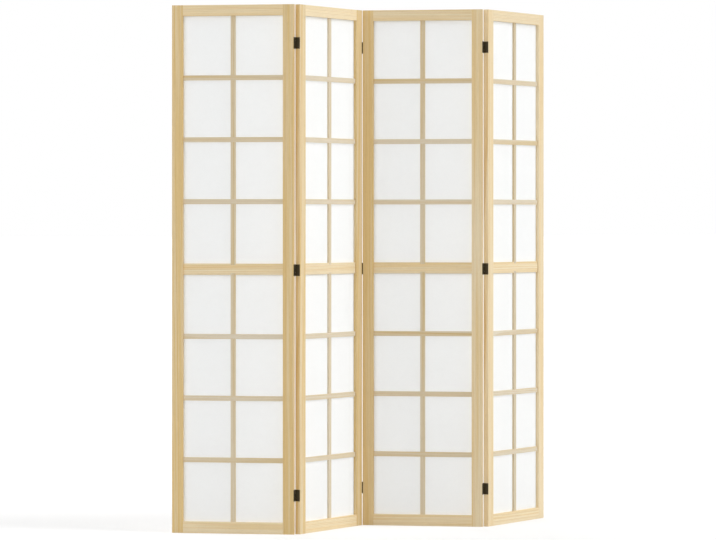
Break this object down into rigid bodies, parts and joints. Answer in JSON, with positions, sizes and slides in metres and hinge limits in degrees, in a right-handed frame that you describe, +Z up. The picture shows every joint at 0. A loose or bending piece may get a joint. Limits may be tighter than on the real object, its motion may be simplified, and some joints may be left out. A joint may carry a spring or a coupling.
{
  "type": "folding screen",
  "caption": "Free-standing folding screen of hinged pine panels, each with a flat lattice in front of translucent paper, standing in a zigzag.",
  "frame": {"origin": "on the floor, at the middle of the screen's footprint as it stands in its zigzag", "axes": "+X along the zigzag from the first panel to the last, +Y from the lattice side to the back, +Z up"},
  "size_m": [1.3542, 0.2428, 1.7],
  "materials": {
    "frame_wood": "planed pale pine with a thin matt lacquer, straight grain along each piece",
    "lattice_wood": "planed pale pine strips with a thin matt lacquer",
    "bead_wood": "planed pale pine",
    "paper": "matt white fibrous paper that lets light through",
    "hinge_metal": "satin black lacquered steel",
    "screw_metal": "blackened steel"
  },
  "bodies": {
    "panel_1": {"panel_1_left_stile": "frame_wood", "panel_1_right_stile": "frame_wood", "panel_1_top_rail": "frame_wood", "panel_1_mid_rail": "frame_wood", "panel_1_bottom_rail": "frame_wood", "panel_1_upper_muntin": "lattice_wood", "panel_1_lower_muntin": "lattice_wood", "panel_1_cross_bars": "lattice_wood", "panel_1_upper_paper": "paper", "panel_1_lower_paper": "paper", "panel_1_beads": "bead_wood", "hinges_1_2_left_leaves": "hinge_metal", "hinges_1_2_pins": "hinge_metal", "hinges_1_2_left_screws": "screw_metal"},
    "panel_2": {"panel_2_left_stile": "frame_wood", "panel_2_right_stile": "frame_wood", "panel_2_top_rail": "frame_wood", "panel_2_mid_rail": "frame_wood", "panel_2_bottom_rail": "frame_wood", "panel_2_upper_muntin": "lattice_wood", "panel_2_lower_muntin": "lattice_wood", "panel_2_cross_bars": "lattice_wood", "panel_2_upper_paper": "paper", "panel_2_lower_paper": "paper", "panel_2_beads": "bead_wood", "hinges_1_2_right_leaves": "hinge_metal", "hinges_1_2_right_screws": "screw_metal", "hinges_2_3_left_leaves": "hinge_metal", "hinges_2_3_pins": "hinge_metal", "hinges_2_3_left_screws": "screw_metal"},
    "panel_3": {"panel_3_left_stile": "frame_wood", "panel_3_right_stile": "frame_wood", "panel_3_top_rail": "frame_wood", "panel_3_mid_rail": "frame_wood", "panel_3_bottom_rail": "frame_wood", "panel_3_upper_muntin": "lattice_wood", "panel_3_lower_muntin": "lattice_wood", "panel_3_cross_bars": "lattice_wood", "panel_3_upper_paper": "paper", "panel_3_lower_paper": "paper", "panel_3_beads": "bead_wood", "hinges_2_3_right_leaves": "hinge_metal", "hinges_2_3_right_screws": "screw_metal", "hinges_3_4_left_leaves": "hinge_metal", "hinges_3_4_pins": "hinge_metal", "hinges_3_4_left_screws": "screw_metal"},
    "panel_4": {"panel_4_left_stile": "frame_wood", "panel_4_right_stile": "frame_wood", "panel_4_top_rail": "frame_wood", "panel_4_mid_rail": "frame_wood", "panel_4_bottom_rail": "frame_wood", "panel_4_upper_muntin": "lattice_wood", "panel_4_lower_muntin": "lattice_wood", "panel_4_cross_bars": "lattice_wood", "panel_4_upper_paper": "paper", "panel_4_lower_paper": "paper", "panel_4_beads": "bead_wood", "hinges_3_4_right_leaves": "hinge_metal", "hinges_3_4_right_screws": "screw_metal"}
  },
  "joints": [
    {"name": "fold_1_2", "type": "hinge", "parent": "panel_1", "child": "panel_2", "pos_m": [-0.3391, -0.10724, 0.85], "axis": [0, 0, 1], "range_deg": [-70, 110]},
    {"name": "fold_2_3", "type": "hinge", "parent": "panel_2", "child": "panel_3", "pos_m": [0, 0.10724, 0.85], "axis": [0, 0, -1], "range_deg": [-70, 110]},
    {"name": "fold_3_4", "type": "hinge", "parent": "panel_3", "child": "panel_4", "pos_m": [0.3391, -0.10724, 0.85], "axis": [0, 0, 1], "range_deg": [-70, 110]}
  ]
}
